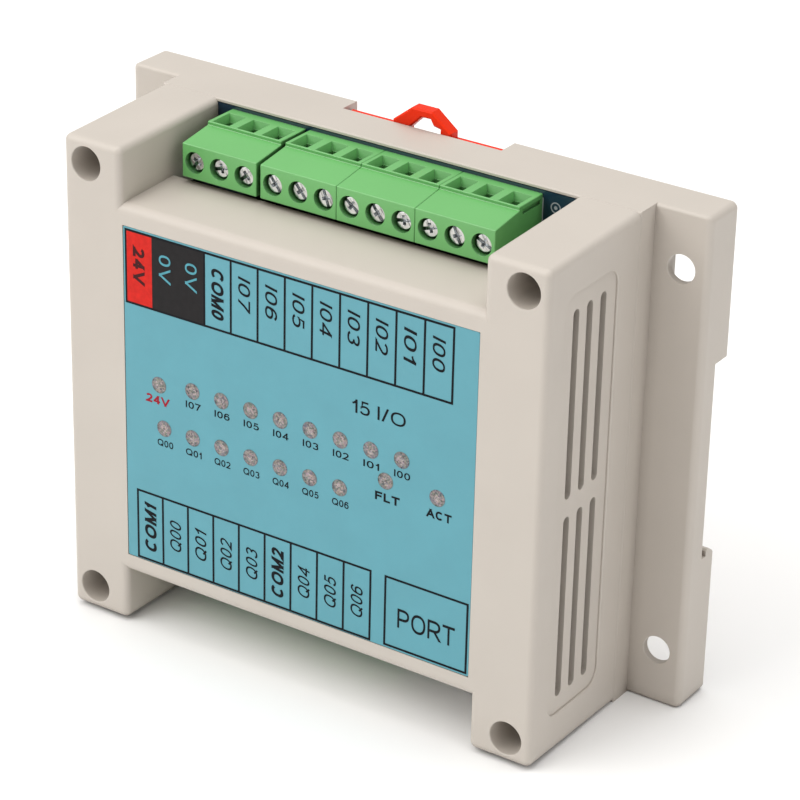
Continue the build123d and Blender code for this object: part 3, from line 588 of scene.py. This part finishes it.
def print_tables(black, panel, red, pale, dark_on_red):
    """The two tables that name the terminals, their words turned to run along the cells."""
    low, high = TABLE_TOP
    edges = [TABLE_TOP_LEFT + TABLE_TOP_CELL * k for k in range(len(TABLE_TOP_WORDS) + 1)]
    black.outline(edges[0], edges[-1], low, high, LINE)
    for x in edges[3:-1]:
        black.box(x - LINE / 2, x + LINE / 2, low + LINE / 2, high - LINE / 2)
    red.box(edges[0] + LINE / 2, edges[1], low + LINE / 2, high - LINE / 2)
    panel.box(edges[1], edges[3] - LINE / 2, low + LINE / 2, high - LINE / 2)
    for k, words in enumerate(TABLE_TOP_WORDS):
        x = edges[k] + TABLE_TOP_CELL / 2
        if k == 0:
            dark_on_red.text(words, x, 69.4, CAPS, 6.6, -90, BOLD)
        elif k < 3:
            pale.text(words, x, 70.2, CAPS, 5.0, -90)
        elif k == 3:
            black.text(words, x, 68.6, COMMON_CAPS, 9.4, -90, BOLD, SLANT)
        else:
            black.text(words, x, 70.0, CAPS, CHANNEL_LONG, -90, REGULAR, SLANT)

    low, high = TABLE_LOW
    edges = [TABLE_LOW_LEFT + TABLE_LOW_CELL * k for k in range(len(TABLE_LOW_WORDS) + 1)]
    black.outline(edges[0], edges[-1], low, high, LINE)
    for x in edges[1:-1]:
        black.box(x - LINE / 2, x + LINE / 2, low + LINE / 2, high - LINE / 2)
    for k, words in enumerate(TABLE_LOW_WORDS):
        x = edges[k] + TABLE_LOW_CELL / 2
        if words.startswith("COM"):
            black.text(words, x, TABLE_LOW_MIDDLE, COMMON_CAPS, 9.6, 90, BOLD, SLANT)
        else:
            black.text(words, x, TABLE_LOW_MIDDLE, CAPS, CHANNEL_LONG, 90, REGULAR, SLANT)


def print_lamps(black, wine, windows):
    """The lamps' windows and the small captions below them."""

    def window(x, z):
        """One lamp's window: its speckled disc, brighter middle and darker rim."""
        windows[0].disc(x, z, WINDOW_R)
        windows[1].disc(x, z, CENTRE_R)
        windows[2].ring(x, z, RIM_R, RIM_LINE)

    left, z = INPUT_LAMPS
    for k in range(8):
        x = left + LAMP_PITCH * k
        window(x, z)
        black.text(f"I0{7 - k}", x + 0.15, z - 2.65, SMALL_CAPS, 3.1, 0, SMALL_WEIGHT)
    left, z = OUTPUT_LAMPS
    for k in range(7):
        x = left + LAMP_PITCH * k
        window(x, z)
        black.text(f"Q0{k}", x + 0.2, z - 2.8, SMALL_CAPS, 3.3, 0, SMALL_WEIGHT)
    x, z = POWER_LAMP
    window(x, z)
    wine.text("24V", x - 0.3, z - 2.9, STATE_CAPS, 4.9, 0, POWER_WEIGHT)
    for words, x in STATE_LAMPS:
        window(x, STATE_LAMP_Z)
        black.text(words, x + 0.43, STATE_LAMP_Z - 3.06, STATE_CAPS, 4.8, 0, STATE_WEIGHT)


def print_label():
    """Everything printed on the front label, each ink a sheet of its own, and its lamps' windows."""
    face = LABEL_FACE - PRINT_LIFT
    over = face - 2 * INK_THICK
    black = Print("label_black_print", printed_ink("black_ink", INK), face)
    panel = Print("label_dark_cells", printed_ink("dark_cell_ink", srgb(33, 31, 32)), face)
    red = Print("label_red_cell", printed_ink("red_ink", srgb(201, 36, 28)), face)
    pale = Print("label_pale_lettering", printed_ink("pale_ink", LABEL_BLUE), over)
    dark_on_red = Print("label_lettering_on_red", printed_ink("ink_on_red", srgb(64, 22, 24)), over)
    wine = Print("label_power_caption", printed_ink("wine_ink", srgb(150, 26, 44)), face)
    windows = [
        Print(name, frosted_window(name, srgb(*light), srgb(*dark)), sheet, slot="led")
        for name, light, dark, sheet in (
            ("lamp_windows", (128, 114, 112), (50, 54, 55), face),
            ("lamp_window_centres", (160, 146, 142), (62, 58, 57), face - INK_THICK),
            ("lamp_window_rims", (80, 98, 102), (40, 50, 54), face - INK_THICK),
        )
    ]

    print_tables(black, panel, red, pale, dark_on_red)
    black.outline(*PORT_BOX, LINE)
    black.text("PORT", 26.6, 20.3, 3.6, 11.2, 0, REGULAR)
    black.text("15 I/O", 16.5, 56.5, CAPS, 10.4)
    print_lamps(black, wine, windows)
    for sheet in (black, panel, red, pale, dark_on_red, wine, *windows):
        sheet.make()


LEGEND_LINE = 0.2
LEGEND_RING_R = 0.85


def print_board():
    """White legend on the circuit board where it shows beside the terminals and the port."""
    legend = Print(
        "board_legend",
        printed_ink("white_legend", srgb(160, 166, 170)),
        BOARD_FACE - PRINT_LIFT,
        slot="board",
    )
    legend.ring(31.7, 86.8, LEGEND_RING_R, LEGEND_LINE)
    legend.disc(31.7, 86.8, 0.32)
    legend.box(29.2, 29.38, 80.2, 88.0)
    legend.box(-33.1, -32.9, 80.2, 88.0)
    legend.box(14.5, 14.7, 2.0, 9.8)
    legend.ring(17.3, 4.0, LEGEND_RING_R, LEGEND_LINE)
    legend.box(-32.0, -31.8, 2.0, 9.8)
    legend.outline(20.0, 33.0, 2.2, 18.2, LEGEND_LINE)
    legend.make()


# ---------------------------------------------------------------- stage, light and camera
FLOOR_HALF = 3.0
SKY_LOW = (0.62, 0.61, 0.60, 1)
SKY_HIGH = (1.0, 0.995, 0.98, 1)
SKY_HIGH_FROM = 0.7
SKY_STRENGTH = 0.74
WARM = (1.0, 0.985, 0.96)
NEUTRAL = (1.0, 0.995, 0.985)
# Each light's name, place and width in metres, power in watts and colour.
LIGHTS = (
    ("key", (-0.55, -0.75, 0.85), 0.95, 8.6, WARM),
    ("fill", (0.95, -0.35, 0.45), 0.8, 0.6, WARM),
    ("top", (0.05, 0.1, 1.1), 0.9, 5.0, NEUTRAL),
)
BOX_MIDDLE = Vector((0, 0, 0.045))


def stage():
    """A wide pale floor and soft studio light from the front left and above."""
    mesh = bmesh.new()
    bmesh.ops.create_grid(mesh, x_segments=1, y_segments=1, size=FLOOR_HALF)
    data = bpy.data.meshes.new("floor")
    mesh.to_mesh(data)
    mesh.free()
    floor = bpy.data.objects.new("floor", data)
    scene.collection.objects.link(floor)
    s = Surface("floor_paper", roughness=0.9)
    base = s.ramp(s.noise(6), 0.3, 0.7, ((0.94, 0.94, 0.94, 1), (0.96, 0.96, 0.96, 1)))
    data.materials.append(s.wire(Base_Color=base))

    world = bpy.data.worlds.new("studio")
    scene.world = world
    world.use_nodes = True
    tree = world.node_tree
    heading = tree.nodes.new("ShaderNodeTexCoord")
    height = tree.nodes.new("ShaderNodeSeparateXYZ")
    sky = tree.nodes.new("ShaderNodeValToRGB")
    tree.links.new(heading.outputs["Generated"], height.inputs["Vector"])
    tree.links.new(height.outputs["Z"], sky.inputs["Fac"])
    tree.links.new(sky.outputs["Color"], tree.nodes["Background"].inputs["Color"])
    sky.color_ramp.elements[0].position = 0.0
    sky.color_ramp.elements[0].color = SKY_LOW
    sky.color_ramp.elements[1].position = SKY_HIGH_FROM
    sky.color_ramp.elements[1].color = SKY_HIGH
    tree.nodes["Background"].inputs["Strength"].default_value = SKY_STRENGTH

    for name, place, size, power, colour in LIGHTS:
        light = bpy.data.lights.new(name, "AREA")
        light.shape = "SQUARE"
        light.size = size
        light.energy = power
        light.color = colour
        lamp = bpy.data.objects.new(name, light)
        lamp.location = place
        aim = BOX_MIDDLE - Vector(place)
        lamp.rotation_euler = aim.to_track_quat("-Z", "Y").to_euler()
        scene.collection.objects.link(lamp)


CAMERA_PLACE = Vector((274.3, -406.0, 288.9)) * MM
CAMERA_AZIMUTH = math.radians(33.32)
CAMERA_ELEVATION = math.radians(26.35)
CAMERA_ROLL = math.radians(1.35)
CAMERA_LENS = 146.1
CAMERA_SENSOR = 36.0


def camera():
    """The camera, turned by azimuth, elevation and a slight roll about its own axis."""
    data = bpy.data.cameras.new("camera")
    data.lens = CAMERA_LENS
    data.sensor_width = CAMERA_SENSOR
    data.clip_start = 0.01
    view = bpy.data.objects.new("camera", data)
    view.matrix_world = (
        Matrix.Translation(CAMERA_PLACE)
        @ Matrix.Rotation(CAMERA_AZIMUTH, 4, "Z")
        @ Matrix.Rotation(math.pi / 2 - CAMERA_ELEVATION, 4, "X")
        @ Matrix.Rotation(CAMERA_ROLL, 4, "Z")
    )
    scene.collection.objects.link(view)
    scene.camera = view


scene.view_settings.view_transform = "Standard"
finish_cad_nodes()
print_label()
print_board()
stage()
camera()
